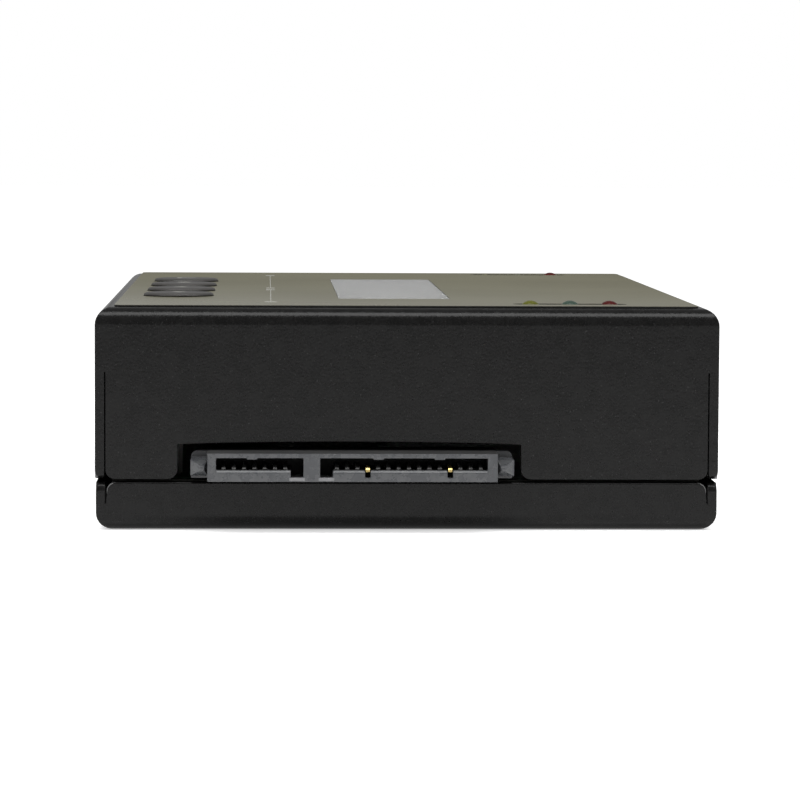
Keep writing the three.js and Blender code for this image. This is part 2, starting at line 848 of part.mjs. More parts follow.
// A guide post beside the mouth, whose nose tapers to a point near the housing.
function guidePost(side) {
  const inner = side * halfHousing;
  const outer = side * (halfHousing + postWidth);
  const length = flangeFront + flangeThickness / 2;
  const apexX = inner + postApexShare * (outer - inner);
  const middleZ = (postLow + postHigh) / 2;
  const post = new THREE.BoxGeometry(postWidth, length, postHigh - postLow, 1, 2, 1);
  post.translate((inner + outer) / 2, length / 2, middleZ);
  const points = post.attributes.position;
  for (let i = 0; i < points.count; i++) {
    const along = points.getY(i) / length;
    if (along > 0.25 && along < 0.75) points.setY(i, postNose);
    if (along < 0.25) {
      points.setX(i, points.getX(i) + postTaperShare * (apexX - points.getX(i)));
      points.setZ(i, points.getZ(i) + postTaperShare * (middleZ - points.getZ(i)));
    }
  }
  return solid(post);
}

// The places of the contacts across the housing, and whether each one is a long gold contact.
function contactPlaces() {
  const places = [];
  for (let i = 0; i < signalContacts; i++) {
    places.push({ x: signalLeft + signalFirst + i * contactPitch, gold: false });
  }
  for (let i = 0; i < powerContacts; i++) {
    places.push({ x: powerLeft + powerFirst + i * contactPitch, gold: goldContacts.includes(i) });
  }
  return places;
}

function contactProfile() {
  const back = slotDepth + contactRoot;
  const top = slotFloor + contactRise;
  const start = contactSetback;
  const points = [[start, slotFloor - contactRoot], [start, slotFloor + contactRise / 2]];
  points.push([start + contactRise, top], [back, top], [back, slotFloor - contactRoot]);
  return outline(points);
}

function receptacleHousing() {
  const half = contactWidth / 2;
  const flangeHalf = halfHousing + postWidth;
  const flange = new THREE.Shape();
  flange.moveTo(-flangeHalf, 0);
  flange.lineTo(flangeHalf, 0);
  flange.absarc(flangeHalf - flangeCorner, housingHeight - flangeCorner, flangeCorner, 0, Math.PI / 2);
  flange.absarc(flangeCorner - flangeHalf, housingHeight - flangeCorner, flangeCorner, Math.PI / 2, Math.PI);
  let housing = join(
    box([-halfHousing, halfHousing], [0, housingDepth], [0, housingHeight]),
    runBack(flange, flangeFront, flangeFront + flangeThickness),
    guidePost(-1),
    guidePost(1),
  );
  housing = cut(
    housing,
    runBack(slotOutline(signalLeft, signalRight, false), -cutOver, slotDepth),
    runBack(slotOutline(powerLeft, powerRight, true), -cutOver, slotDepth),
    mouthCut(signalLeft, signalRight - footWidth),
    mouthCut(powerLeft + footWidth, powerRight),
  );
  for (const share of roofRibShares) {
    const x = -halfHousing + share * housingWidth;
    const across = [x - roofRibWidth / 2, x + roofRibWidth / 2];
    const drop = [slotRoof - roofRibDrop, (slotRoof + housingHeight) / 2];
    housing = housing.add(box(across, [0, slotDepth + contactRoot], drop));
  }
  for (const { x, gold: long } of contactPlaces()) {
    if (long) {
      const groove = [x - goldGroove / 2, x + goldGroove / 2];
      housing = housing.subtract(box(groove, [-cutOver, slotDepth], [grooveFloor, slotFloor + cutOver]));
    } else {
      housing = housing.add(runAcross(contactProfile(), x - half, x + half));
    }
    const tail = [housingDepth - contactRoot, housingDepth + tailLength];
    housing = housing.add(box([x - half, x + half], tail, [0, tailThickness]));
  }
  return housing;
}

// A long contact: a spring strip along the slot's floor that crowns behind the mouth and turns down in its groove.
function goldContact(x) {
  const back = slotDepth - seatGap;
  const crownEnd = goldSetback + goldCrownRun;
  const crownY = goldSetback + goldCrownRun / 3;
  const nose = slotFloor - goldDrop;
  const lift = 2 * goldRise - goldThickness;
  const shape = new THREE.Shape();
  shape.moveTo(back, slotFloor);
  shape.lineTo(back, slotFloor + goldThickness);
  shape.lineTo(crownEnd, slotFloor + goldThickness);
  shape.quadraticCurveTo(crownY, slotFloor + lift, goldSetback, nose);
  shape.lineTo(goldSetback + goldThickness, nose);
  shape.quadraticCurveTo(crownY + goldThickness, slotFloor + lift - 2 * goldThickness, crownEnd, slotFloor);
  const half = contactWidth / 2;
  return runAcross(shape, x - half, x + half, roundSteps / 2);
}

for (const [end, turn] of [["near", 0], ["far", Math.PI]]) {
  const place = new THREE.Group();
  const side = turn ? -1 : 1;
  place.position.set(side * receptacleX, -side * receptacleY, receptacleZ);
  place.rotation.z = turn;
  root.add(place);
  add(`${end}_receptacle`, receptacleHousing(), greyPlastic, place);
  contactPlaces()
    .filter((contact) => contact.gold)
    .forEach(({ x }, i) => add(`${end}_gold_contact_${i + 1}`, goldContact(x), gold, place));
}

// The inlet: a square face, a barrel behind it, and a bore with the centre pin.
function dcJack() {
  const faceBack = jackFront - jackFaceDepth;
  const half = jackWidth / 2;
  const face = box([faceBack, jackFront], [jackY - half, jackY + half], [mainTop, mainTop + jackHeight]);
  const section = new THREE.Shape();
  section.moveTo(jackY - jackBarrel, mainTop);
  section.lineTo(jackY + jackBarrel, mainTop);
  section.absarc(jackY, jackAxis, jackBarrel, 0, Math.PI);
  const barrel = runAcross(section, jackFront - jackDepth, faceBack, roundSteps);
  const bore = runAcross(disc(jackBore, jackY, jackAxis), jackFront - jackBoreDepth, jackFront + cutOver, roundSteps);
  return face.add(barrel).subtract(bore);
}
add("dc_jack", dcJack(), blackPlastic);
add(
  "dc_jack_pin",
  runAcross(disc(jackPin, jackY, jackAxis), jackFront - jackBoreDepth, jackFront - jackPinSetback, 6),
  brightMetal,
);

// The rocker's frame: a flange outside the cover, a pocket, two snap clips and two terminals.
function switchFrame() {
  const flange = rounded(flangeLength, flangeHeight, flangeRound, rockerY, rockerZ);
  const halfY = frameLength / 2;
  const halfZ = frameHeight / 2;
  const across = [rockerZ - halfZ, rockerZ + halfZ];
  const body = box([frameBack, halfWidth + flangeOut / 2], [rockerY - halfY, rockerY + halfY], across);
  let frame = runAcross(flange, halfWidth, rockerFace).add(body);
  for (const side of [-1, 1]) {
    const wall = rockerY + side * halfY;
    const start = halfWidth - sheet - seatGap;
    const clip = outline([
      [start, wall],
      [start, wall + side * clipReach],
      [start - clipRun, wall],
      [start - clipRun, wall - side * frameWall],
      [start, wall - side * frameWall],
    ]);
    frame = frame.add(raised(clip, rockerZ - halfZ / 2, rockerZ + halfZ / 2));
    const y = rockerY + (side * terminalPitch) / 2;
    const tab = [y - terminalThickness / 2, y + terminalThickness / 2];
    const width = [rockerZ - terminalWidth / 2, rockerZ + terminalWidth / 2];
    frame = frame.add(box([frameBack - terminalLength, frameBack + frameWall], tab, width));
  }
  const pocketY = [rockerY - halfY + frameWall, rockerY + halfY - frameWall];
  const pocketZ = [rockerZ - halfZ + frameWall, rockerZ + halfZ - frameWall];
  const pocket = box([rockerFace - pocketDepth, rockerFace + cutOver], pocketY, pocketZ);
  const holes = rod(trunnionRadius + seatGap, across[0] - cutOver, across[1] + cutOver, pivotX, rockerY);
  return cut(frame, pocket, holes);
}
add("switch_frame", switchFrame(), blackPlastic);

// The rocker turns on two trunnions in the frame's walls; it lies at one end of its swing.
function switchRocker() {
  const half = frameHeight / 2 - frameWall - seatGap;
  const shape = outline([
    [-rockerBelow, -rockerHalf],
    [0, -rockerHalf],
    [rockerTip, -rockerTipHalf],
    [rockerCrown, 0],
    [rockerTip, rockerTipHalf],
    [0, rockerHalf],
    [-rockerBelow, rockerHalf],
    [-rockerBelow - trunnionRadius, 0],
  ]);
  const reach = frameHeight / 2;
  return raised(shape, -half, half).add(rod(trunnionRadius, -reach, reach));
}
const rocker = add("switch_rocker", switchRocker(), blackPlastic);
rocker.position.set(pivotX, rockerY, rockerZ);
rocker.rotation.z = THREE.MathUtils.degToRad(rockerAngle);

// The flat twin lead runs from the two terminals down to the main board.
function switchLead() {
  const half = (terminalPitch + terminalThickness) / 2;
  const path = new THREE.CurvePath();
  const start = new THREE.Vector3(leadStart, rockerY, rockerZ);
  const corner = new THREE.Vector3(leadX, rockerY, rockerZ);
  const below = new THREE.Vector3(leadX, rockerY, rockerZ - leadDrop);
  path.add(new THREE.QuadraticBezierCurve3(start, corner, below));
  path.add(new THREE.LineCurve3(below, new THREE.Vector3(leadX, rockerY, mainTop + seatGap)));
  const section = outline([
    [-half, -leadThickness / 2],
    [half, -leadThickness / 2],
    [half, leadThickness / 2],
    [-half, leadThickness / 2],
  ]);
  return solid(new THREE.ExtrudeGeometry(section, { steps: 12, bevelEnabled: false, extrudePath: path }));
}
add("switch_lead", switchLead(), blackPlastic);

function hexShape(x, y) {
  const corner = hexFlats / Math.sqrt(3);
  const points = [0, 1, 2, 3, 4, 5].map((i) => {
    const angle = (i * Math.PI) / 3;
    return [x + corner * Math.cos(angle), y + corner * Math.sin(angle)];
  });
  return outline(points);
}

// Each corner is one stack: a screw from below, tray boss, main board, spacer, control board, standoff, cover.
fastenerPlaces.forEach(([x, y], i) => {
  const standoff = raised(hexShape(x, y), controlTop, coverUnder);
  const bore = rod(boreRadius, controlTop - cutOver, controlTop + boreDepth, x, y);
  add(`cover_standoff_${i + 1}`, standoff.subtract(bore), brightMetal);
  const spacer = raised(hexShape(x, y), mainTop, controlLow);
  const socket = rod(boreRadius, mainTop - cutOver, mainTop + spacerBore, x, y);
  const stud = rod(studRadius, controlLow - boardThickness / 2, controlTop + studLength, x, y);
  add(`board_spacer_${i + 1}`, spacer.subtract(socket).add(stud), brightMetal);
  const seat = mainLow - sheet;
  const tip = mainTop + spacerBore - screwTipGap;
  const screw = turned(
    [
      [0, seat - headHeight],
      [headRadius - headCorner, seat - headHeight],
      [headRadius, seat - headHeight + headDome],
      [headRadius, seat],
      [studRadius, seat],
      [studRadius, tip],
      [0, tip],
    ],
    x,
    y,
  );
  add(`case_screw_${i + 1}`, screw, brightMetal);
});

export default root;
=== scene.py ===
from math import cos, pi, radians, sin

import bmesh
import bpy
from mathutils import Matrix, Vector


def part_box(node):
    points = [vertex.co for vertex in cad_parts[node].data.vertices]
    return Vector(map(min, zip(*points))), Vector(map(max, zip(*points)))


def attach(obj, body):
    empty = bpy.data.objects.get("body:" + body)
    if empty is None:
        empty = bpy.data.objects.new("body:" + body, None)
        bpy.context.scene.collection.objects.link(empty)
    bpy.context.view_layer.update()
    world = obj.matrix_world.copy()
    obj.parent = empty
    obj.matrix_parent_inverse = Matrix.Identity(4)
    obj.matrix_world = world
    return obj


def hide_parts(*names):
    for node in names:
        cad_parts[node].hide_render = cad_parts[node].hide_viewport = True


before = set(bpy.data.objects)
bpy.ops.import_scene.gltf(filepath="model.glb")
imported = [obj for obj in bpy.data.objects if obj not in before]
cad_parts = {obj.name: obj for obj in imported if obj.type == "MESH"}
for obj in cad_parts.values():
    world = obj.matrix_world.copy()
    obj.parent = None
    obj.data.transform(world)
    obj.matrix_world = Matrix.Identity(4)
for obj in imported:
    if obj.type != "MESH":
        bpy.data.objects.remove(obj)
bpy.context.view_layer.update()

# The studio: a pale floor in an even room, with a long softbox above the front edge and one at each side.
# The camera stands in front of the near receptacle, a little left of the middle and barely above the case.
# The room looks white to the camera and through clear pieces, and mid grey in reflections.
mm = 0.001
scene = bpy.context.scene
scene.view_settings.view_transform = "Standard"


class Value:
    """What comes out of a node's socket. Sums, products and comparisons of it add nodes."""

    def __init__(self, tree, socket):
        self.tree = tree
        self.socket = socket

    def maths(self, operation, first, second=0.0):
        return node(self.tree, "Math", {"operation": operation}, {0: first, 1: second})

    def __add__(self, other):
        return self.maths("ADD", self, other)

    def __sub__(self, other):
        return self.maths("SUBTRACT", self, other)

    def __rsub__(self, other):
        return self.maths("SUBTRACT", other, self)

    def __mul__(self, other):
        return self.maths("MULTIPLY", self, other)

    def __truediv__(self, other):
        return self.maths("DIVIDE", self, other)

    def __lt__(self, other):
        return self.maths("LESS_THAN", self, other)

    def __gt__(self, other):
        return self.maths("GREATER_THAN", self, other)

    def __abs__(self):
        return self.maths("ABSOLUTE", self)

    __radd__ = __add__
    __rmul__ = __mul__

    def repeat(self, pitch):
        """How far this is from the middle of its step, in steps, where it repeats every pitch."""
        return self.maths("FRACT", self / pitch) - 0.5


def feed(tree, socket, value):
    if isinstance(value, Value):
        tree.links.new(value.socket, socket)
    else:
        socket.default_value = value


def node(tree, kind, settings=None, inputs=None, output=0):
    """Adds a node, sets its settings and then its sockets, and gives one of its outputs."""
    made = tree.nodes.new("ShaderNode" + kind)
    for key, value in (settings or {}).items():
        setattr(made, key, value)
    for key, value in (inputs or {}).items():
        feed(tree, made.inputs[key], value)
    return Value(tree, made.outputs[output])


def is_ray(tree, *kinds):
    """1 for rays of these kinds, and 0 for the rest."""
    found = [node(tree, "LightPath", output=f"Is {kind} Ray") for kind in kinds]
    return sum(found[1:], found[0]) > 0.5


room_light = 0.62
room_reflected = 0.34
world = bpy.data.worlds.new("white_room")
scene.world = world
world.use_nodes = True
feed(world.node_tree, world.node_tree.nodes["Background"].inputs["Color"], (1, 1, 1, 1))
white = is_ray(world.node_tree, "Camera", "Transmission") * (1 - room_light)
dimmer = is_ray(world.node_tree, "Glossy") * (room_light - room_reflected)
feed(world.node_tree, world.node_tree.nodes["Background"].inputs["Strength"], room_light + white - dimmer)

floor_half = 3
floor_level = -0.02 * mm
floor_white = 0.92
floor_seen = 0.45
floor_mirrored = 0.3
bm = bmesh.new()
bmesh.ops.create_grid(bm, x_segments=1, y_segments=1, size=floor_half)
bmesh.ops.translate(bm, vec=(0, 0, floor_level), verts=bm.verts)
floor_mesh = bpy.data.meshes.new("floor")
bm.to_mesh(floor_mesh)
bm.free()
floor = bpy.data.objects.new("floor", floor_mesh)
scene.collection.objects.link(floor)
paper = bpy.data.materials.new("paper_floor")
paper.use_nodes = True
paper_shader = paper.node_tree.nodes["Principled BSDF"]
paper_shader.inputs["Base Color"].default_value = (floor_white, floor_white, floor_white, 1)
paper_shader.inputs["Roughness"].default_value = 1
paper_shader.inputs["Specular IOR Level"].default_value = 0
paper_shader.inputs["Emission Color"].default_value = (1, 1, 1, 1)
seen = is_ray(paper.node_tree, "Camera") * floor_seen
mirrored = is_ray(paper.node_tree, "Glossy") * floor_mirrored
feed(paper.node_tree, paper_shader.inputs["Emission Strength"], seen + mirrored)
floor_mesh.materials.append(paper)


def softbox(name, place, aim, width, depth, power):
    lamp = bpy.data.lights.new(name, "AREA")
    lamp.shape = "RECTANGLE"
    lamp.size = width
    lamp.size_y = depth
    lamp.energy = power
    stand = bpy.data.objects.new(name, lamp)
    stand.location = place
    stand.rotation_euler = (Vector(aim) - Vector(place)).to_track_quat("-Z", "Y").to_euler()
    scene.collection.objects.link(stand)


softbox("softbox_above", place=(0, -0.155, 0.42), aim=(0, -0.06, 0.02), width=0.7, depth=0.17, power=2.1)
softbox("softbox_left", place=(-0.75, -0.45, 0.42), aim=(0, 0, 0.01), width=0.5, depth=0.5, power=1.4)
softbox("softbox_right", place=(0.75, -0.45, 0.42), aim=(0, 0, 0.01), width=0.5, depth=0.5, power=1.4)

camera_place = Vector((-17.684, -516.396, 49.097)) * mm
yaw, pitch, roll = 0.0364, 0.0712, 0.0047
focal_pixels = 3709.3
picture_side = 800
forward = Vector((sin(yaw) * cos(pitch), cos(yaw) * cos(pitch), -sin(pitch)))
across = Vector((cos(yaw), -sin(yaw), 0))
upward = across.cross(forward)
right = cos(roll) * across + sin(roll) * upward
top = cos(roll) * upward - sin(roll) * across
camera_data = bpy.data.cameras.new("camera")
camera_data.sensor_width = 36
camera_data.lens = focal_pixels / picture_side * camera_data.sensor_width
camera = bpy.data.objects.new("camera", camera_data)
camera.matrix_world = Matrix.Translation(camera_place) @ Matrix((right, top, -forward)).transposed().to_4x4()
scene.collection.objects.link(camera)
scene.camera = camera

# The cover: one sheet of 1.2 mm steel, cut out, folded down on all four sides and powder coated.
# Its end flaps stand between the side flaps with a slit at each corner, and each end flap has a notch round
# the receptacle, as the right flap has round the inlet. The other holes are punched before it is folded.
sheet = 1.2 * mm
cover_bend = 2.2 * mm
corner_slit = 0.1 * mm
edge_round = 0.13 * mm
cut_depth = 0.1 * mm
overrun = 1 * mm
weld = 0.01 * mm
short_edge = 1.5 * sheet
bend_steps, corner_steps = 8, 5


def block(low, high):
    bm = bmesh.new()
    bmesh.ops.create_cube(bm, size=1)
    bmesh.ops.scale(bm, vec=Vector(high) - Vector(low), verts=bm.verts)
    bmesh.ops.translate(bm, vec=(Vector(low) + Vector(high)) / 2, verts=bm.verts)
    return bm


def bevel(bm, edges, radius, steps):
    bmesh.ops.bevel(
        bm,
        geom=edges,
        offset=radius,
        affect="EDGES",
        segments=steps,
        profile=0.5,
        material=-1,
        clamp_overlap=True,
    )


def edges_where(bm, test):
    return [edge for edge in bm.edges if all(test(vert.co) for vert in edge.verts)]


def round_edges(piece, chosen, radius, steps):
    """Rounds those of a piece's edges that are chosen."""
    bm = bmesh.new()
    bm.from_mesh(piece.data)
    bevel(bm, [edge for edge in bm.edges if chosen(edge)], radius, steps)
    bm.to_mesh(piece.data)
    bm.free()


def near(a, b):
    return abs(a - b) < weld


def thicken(bm, height):
    """Raises flat faces into a solid."""
    raised = bmesh.ops.extrude_face_region(bm, geom=bm.faces[:])["geom"]
    tops = [v for v in raised if isinstance(v, bmesh.types.BMVert)]
    bmesh.ops.translate(bm, vec=(0, 0, height), verts=tops)
    bmesh.ops.recalc_face_normals(bm, faces=bm.faces)


def oval_block(x, y, width, length, low, high, steps=72):
    bm = bmesh.new()
    bmesh.ops.create_circle(bm, cap_ends=True, radius=0.5, segments=steps)
    bmesh.ops.scale(bm, vec=(width, length, 1), verts=bm.verts)
    bmesh.ops.translate(bm, vec=(x, y, low), verts=bm.verts)
    thicken(bm, high - low)
    return bm


def part(name, bm):
    mesh = bpy.data.meshes.new(name)
    bm.to_mesh(mesh)
    bm.free()
    made = bpy.data.objects.new(name, mesh)
    scene.collection.objects.link(made)
    return made


def settle(piece):
    """Makes a piece's modifiers part of its mesh."""
    bpy.context.view_layer.update()
    made = bpy.data.meshes.new_from_object(piece.evaluated_get(bpy.context.evaluated_depsgraph_get()))
    piece.modifiers.clear()
    piece.data = made


def carve(piece, cutters, operation="DIFFERENCE"):
    """Cuts blocks out of a piece, or joins them to it."""
    tools = [part("cutter", bm) for bm in cutters]
    for tool in tools:
        change = piece.modifiers.new("cut", "BOOLEAN")
        change.object = tool
        change.operation = operation
        change.solver = "EXACT"
    settle(piece)
    for tool in tools:
        bpy.data.objects.remove(tool)


def soften(piece, width, steps=2, angle=32):
    """Rounds each edge sharper than the angle, and keeps the flat faces looking flat."""
    piece.data.polygons.foreach_set("use_smooth", [True] * len(piece.data.polygons))
    if width:
        edges = piece.modifiers.new("edges", "BEVEL")
        edges.width = width
        edges.segments = steps
        edges.limit_method = "ANGLE"
        edges.angle_limit = radians(angle)
        edges.use_clamp_overlap = False
    shading = piece.modifiers.new("shading", "WEIGHTED_NORMAL")
    shading.keep_sharp = True
    settle(piece)


def mount(piece, body, slot, look, *replaced):
    """Gives a piece its finish and its body, and says which solids it stands for."""
    if not isinstance(look, list):
        look = [look]
    marks = [face.material_index for face in piece.data.polygons]
    piece.data.materials.clear()
    for each in look:
        piece.data.materials.append(each)
    piece.data.polygons.foreach_set("material_index", marks)
    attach(piece, body)
    if replaced:
        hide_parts(*replaced)
    return piece


def make_look(name, settings, pattern):
    """A material: settings go on the shader's own sockets, and pattern gives what varies over the surface."""
    look = bpy.data.materials.new(name)
    look.use_nodes = True
    tree = look.node_tree
    shader = tree.nodes["Principled BSDF"]
    for key, value in settings.items():
        shader.inputs[key].default_value = value
    for key, value in pattern(tree, node(tree, "TexCoord", output="Object")).items():
        feed(tree, shader.inputs[key], value)
    return look


def noise(tree, place, scale, detail, roughness=0.5):
    inputs = {"Vector": place, "Scale": scale, "Detail": detail, "Roughness": roughness}
    return node(tree, "TexNoise", {}, inputs, "Fac")


def blend(tree, share, first, second):
    """A colour between two colours."""
    return node(tree, "Mix", {"data_type": "RGBA"}, {0: share, 6: first, 7: second}, 2)


def ramp(tree, value, low, high):
    """0 below low, 1 above high and smooth between them."""
    inputs = {"Value": value, "From Min": low, "From Max": high}
    return node(tree, "MapRange", {"interpolation_type": "SMOOTHSTEP"}, inputs)


def relief(tree, height, depth):
    return node(tree, "Bump", {}, {"Height": height, "Distance": depth, "Strength": 1.0})


def grey(level, warmth=0.0):
    return (level * (1 + warmth), level, level * (1 - warmth), 1)


def powder(tree, place):
    grain = noise(tree, place, 3200, 3)
    clouds = noise(tree, place, 600, 2)
    speck = ramp(tree, noise(tree, place, 5200, 1), 0.70, 0.78)
    shade = ramp(tree, grain * 0.5 + clouds * 0.5, 0.38, 0.62)
    colour = blend(tree, shade, grey(0.0036, 0.02), grey(0.0062, 0.02))
    return {
        "Base Color": blend(tree, speck, colour, grey(0.03)),
        "Roughness": grain * 0.15 + 0.125,
        "Normal": relief(tree, grain, 0.016 * mm),
    }


# Near black, matt and without sheen: painted shade for the flaps' cut faces inside the seams.
def seam_shade_tone(tree, place):
    grain = noise(tree, place, 2600, 2)
    return {"Base Color": blend(tree, grain, grey(0.0015), grey(0.003)), "Roughness": grain * 0.1 + 0.8}


powder_coat = make_look("powder_coat", {"Specular IOR Level": 0.17}, powder)
seam_shade_look = make_look("painted_seam_shade", {"Specular IOR Level": 0.0}, seam_shade_tone)


def pan(name, low, high, open_z, closed_z, bend, slit_stop, corner):
    """A block with rounded bends, hollowed and slit, with rounded corners at its flaps' free ends."""
    up = 1 if closed_z > open_z else -1

    def bent(low, high, closed, radius):
        bm = block(low, high)
        bevel(bm, edges_where(bm, lambda v: near(v.z, closed)), radius, bend_steps)
        return bm

    shell = part(name, bent(low, high, closed_z, bend))
    inset = Vector((sheet, sheet, 0))
    inner_low = Vector(low) + inset
    inner_high = Vector(high) - inset
    inner_low.z = min(open_z - up * overrun, closed_z - up * sheet)
    inner_high.z = max(open_z - up * overrun, closed_z - up * sheet)
    cutters = [bent(inner_low, inner_high, closed_z - up * sheet, bend - sheet)]
    half_x, half_y = high.x, high.y
    for side in (-1, 1):
        for end in (-1, 1):
            xs = sorted((side * (half_x - sheet), side * (half_x - sheet - corner_slit)))
            ys = sorted((end * (half_y - sheet - overrun), end * (half_y + overrun)))
            zs = sorted((slit_stop, open_z - up * overrun))
            cutters.append(block((xs[0], ys[0], zs[0]), (xs[1], ys[1], zs[1])))
    carve(shell, cutters)
    flap = half_x - sheet - corner_slit

    def at_corner(edge):
        ends = [vert.co for vert in edge.verts]
        on_end_flap = all(near(abs(end.x), flap) for end in ends)
        on_side_flap = all(near(abs(end.y), half_y) and abs(end.x) > flap for end in ends)
        free = all(near(end.z, open_z) for end in ends)
        return free and (on_end_flap or on_side_flap) and edge.calc_length() < short_edge

    round_edges(shell, at_corner, corner, corner_steps)
    return shell


def shade_seam_faces(shell, open_z):
    """Gives the flaps' free cut faces, which show inside the seam, the second finish: near black, painted
    shade in the seam.
    """
    for face in shell.data.polygons:
        if abs(face.center.z - open_z) < cut_depth and abs(face.normal.z) > 0.7:
            face.material_index = 1


cover_low, cover_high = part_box("top_cover")
cover_corner = 1.3 * mm
slit_from_top = 8 * mm
cover = pan(
    "cover_shell",
    cover_low,
    cover_high,
    cover_low.z,
    cover_high.z,
    cover_bend,
    cover_high.z - slit_from_top,
    cover_corner,
)

# What is punched through the cover, from the places of what stands in each hole.
button_gap = 0.3 * mm
button_flange = 0.8 * mm
button_names = [f"button_cap_{i}" for i in range(1, 5)]
button_places = [sum(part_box(name), Vector()) / 2 for name in button_names]
button_low, button_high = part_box("button_cap_1")
button_size = button_high - button_low - 2 * Vector((button_flange, button_flange, 0))
lamp_names = [f"lamp_{end}_{i}" for end in ("near", "far") for i in (1, 2, 3)]
lamp_places = [sum(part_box(name), Vector()) / 2 for name in lamp_names]
lamp_hole = 1.3 * mm
lamp_hole_steps = 32
pane_rim = Vector((1.5, 1.5, 0)) * mm
pane_gap = Vector((0.3, 0.3, 0)) * mm
pane_low, pane_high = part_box("display_window")
jack_low, jack_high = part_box("dc_jack")
jack_gap = 0.35 * mm
frame_low, frame_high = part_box("switch_frame")
frame_flange = Vector((0, 1.1, 1)) * mm
frame_gap = Vector((0, 0.3, 0.3)) * mm
notch_gaps = (1.6 * mm, 1 * mm)
notch_above = 0.75 * mm
notch_bow = 0.3 * mm
notch_bow_cuts = 11
punch_low, punch_high = cover_high.z - 2 * sheet, cover_high.z + overrun
wall_inside, wall_outside = cover_high.x - 2 * sheet, cover_high.x + overrun


def notch(node_name, side):
    """A block through an end flap round its receptacle, with a slightly bowed top."""
    low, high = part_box(node_name)
    gaps = notch_gaps if side < 0 else notch_gaps[::-1]
    front, back = sorted((side * (cover_high.y + overrun), side * (cover_high.y - sheet - overrun)))
    top = high.z + notch_above
    left, right = low.x - gaps[0], high.x + gaps[1]
    bm = block((left, front, cover_low.z - overrun), (right, back, top))
    tops = [e for e in edges_where(bm, lambda v: near(v.z, top)) if near(e.verts[0].co.y, e.verts[1].co.y)]
    bmesh.ops.subdivide_edges(bm, edges=tops, cuts=notch_bow_cuts, use_grid_fill=True)
    for vert in bm.verts:
        if near(vert.co.z, top):
            share = (2 * vert.co.x - left - right) / (right - left)
            vert.co.z += notch_bow * (1 - share * share)
    return bm, (left, right)


punches = []
for place in button_places:
    size = button_size + 2 * Vector((button_gap, button_gap, 0))
    punches.append(oval_block(place.x, place.y, size.x, size.y, punch_low, punch_high))
for place in lamp_places:
    span = 2 * lamp_hole
    punches.append(oval_block(place.x, place.y, span, span, punch_low, punch_high, lamp_hole_steps))
opening = (pane_low + pane_rim - pane_gap, pane_high - pane_rim + pane_gap)
opening[0].z = punch_low
opening[1].z = punch_high
punches.append(block(*opening))
jack_sides = (jack_low.y - jack_gap, jack_high.y + jack_gap)
jack_top = jack_high.z + jack_gap
jack_corner = (wall_inside, jack_sides[0], cover_low.z - overrun)
punches.append(block(jack_corner, (wall_outside, jack_sides[1], jack_top)))
cutout = (frame_low + frame_flange - frame_gap, frame_high - frame_flange + frame_gap)
cutout[0].x = wall_inside
cutout[1].x = wall_outside
punches.append(block(*cutout))
near_notch, near_sides = notch("near_receptacle", -1)
far_notch, far_sides = notch("far_receptacle", 1)
carve(cover, [*punches, near_notch, far_notch])


def at_mouth(edge):
    """Whether an edge is a corner where a notch opens at the foot of a flap."""
    ends = [vert.co for vert in edge.verts]
    on_notch = any(all(near(end.x, x) for end in ends) for x in (*near_sides, *far_sides))
    on_jack = any(all(near(end.y, y) for end in ends) for y in jack_sides)
    free = all(near(end.z, cover_low.z) for end in ends)
    return free and (on_notch or on_jack) and edge.calc_length() < short_edge


round_edges(cover, at_mouth, cover_corner, corner_steps)
soften(cover, edge_round)
shade_seam_faces(cover, cover_low.z)
mount(cover, "case", "painted_case", [powder_coat, seam_shade_look], "top_cover")

# The tray: the same steel and coat, folded up on all four sides, with a pressed boss at each corner.
# A boss is hollow below, so that the screw's head stays inside it, and carries the main board on top.
tray_bend = 2.2 * mm
tray_corner = 1.15 * mm
tray_roll = 0.3 * mm
tray_slit = 3.4 * mm
boss_foot, boss_top = 5.4 * mm, 4 * mm
recess_foot, recess_top = 4.6 * mm, 3.1 * mm
boss_hole = 1.6 * mm
boss_steps, hole_steps, roll_steps = 40, 24, 4
glint_facing, glint_sideways = (0.3, 0.97), 0.1
tray_low, tray_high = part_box("bottom_tray")
tray_flap = tray_high.x - sheet - corner_slit
board_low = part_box("main_board")[0].z
screw_names = [f"case_screw_{i}" for i in range(1, 5)]
screw_places = [sum(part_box(name), Vector()) / 2 for name in screw_names]


def turned(profile, x, y, steps):
    """A profile of (radius, height) points from the axis and back to it, spun round a vertical axis."""
    bm = bmesh.new()
    verts = [bm.verts.new((radius, 0, height)) for radius, height in profile]
    edges = [bm.edges.new(pair) for pair in zip(verts, verts[1:])]
    bmesh.ops.spin(
        bm,
        geom=verts + edges,
        cent=(0, 0, 0),
        axis=(0, 0, 1),
        angle=2 * pi,
        steps=steps,
        use_merge=True,
    )
    bmesh.ops.remove_doubles(bm, verts=bm.verts, dist=0.001 * mm)
    bmesh.ops.recalc_face_normals(bm, faces=bm.faces)
    bmesh.ops.translate(bm, vec=(x, y, 0), verts=bm.verts)
    return bm


def at_free_side(edge):
    """Whether an edge is on the outside of an end flap's free side, where the punch draws the sheet over."""
    ends = [vert.co for vert in edge.verts]
    on_flap = all(near(abs(end.y), tray_high.y) and abs(end.x) < tray_flap + weld for end in ends)
    return on_flap and all(abs(end.z - tray_high.z) < tray_corner + weld for end in ends)


# A light, partly metallic finish on the rounded corners of the tray's end flaps: a painted highlight for the
# glint of light on those corners.
def corner_glint_tone(tree, place):
    grain = noise(tree, place, 2600, 2)
    return {"Base Color": blend(tree, grain, grey(0.10), grey(0.15)), "Roughness": grain * 0.1 + 0.35}


